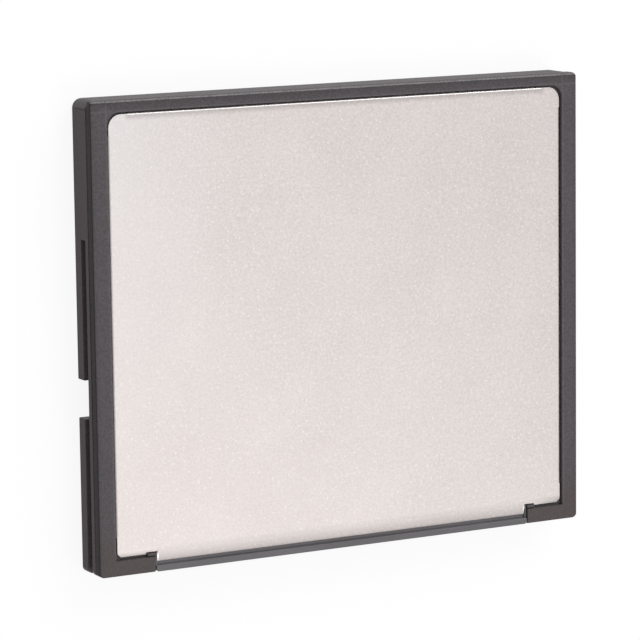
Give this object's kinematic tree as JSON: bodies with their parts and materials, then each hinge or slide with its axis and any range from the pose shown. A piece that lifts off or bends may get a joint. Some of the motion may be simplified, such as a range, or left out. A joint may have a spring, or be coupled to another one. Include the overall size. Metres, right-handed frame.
{
  "type": "compact flash card",
  "caption": "Slim rectangular flash memory card: charcoal moulded frame round recessed steel panels, keyed guide grooves in its sides and two rows of sockets in its end",
  "frame": {"origin": "centre of the outline at the hidden face, which the card lies on", "axes": "+X across the card, +Y from the connector end to the lip end, +Z from the hidden face to the shown face with the bare steel panel"},
  "size_m": [0.0428, 0.0364, 0.0033],
  "materials": {
    "frame_plastic": "fine moulded texture, charcoal",
    "cover_steel": "satin, fine bead-blasted grain",
    "header_plastic": "dark grey, slight sheen",
    "contact_metal": "plated",
    "board_laminate": "green solder resist",
    "film": "amber film",
    "chip_plastic": "moulded black",
    "lead_metal": "tin plated",
    "crystal_ceramic": "dark ceramic",
    "crystal_metal": "plated lid",
    "tantalum_plastic": "moulded ochre",
    "capacitor_ceramic": "tan ceramic",
    "resistor_ceramic": "dark glaze"
  },
  "bodies": {
    "root": {"moulded_frame": "frame_plastic", "upper_steel_cover": "cover_steel", "lower_steel_cover": "cover_steel", "connector_housing": "header_plastic", "upper_contacts": "contact_metal", "lower_contacts": "contact_metal", "circuit_board": "board_laminate", "upper_insulating_film": "film", "lower_insulating_film": "film", "flash_chip": "chip_plastic", "flash_chip_leads": "lead_metal", "controller_chip": "chip_plastic", "controller_chip_leads": "lead_metal", "voltage_regulator": "chip_plastic", "voltage_regulator_leads": "lead_metal", "crystal_base": "crystal_ceramic", "crystal_lid": "crystal_metal", "tantalum_capacitor": "tantalum_plastic", "tantalum_capacitor_terminals": "lead_metal", "ceramic_capacitors": "capacitor_ceramic", "ceramic_capacitor_terminals": "lead_metal", "chip_resistors": "resistor_ceramic", "chip_resistor_terminals": "lead_metal", "resistor_networks": "resistor_ceramic", "resistor_network_terminals": "lead_metal"}
  },
  "joints": []
}
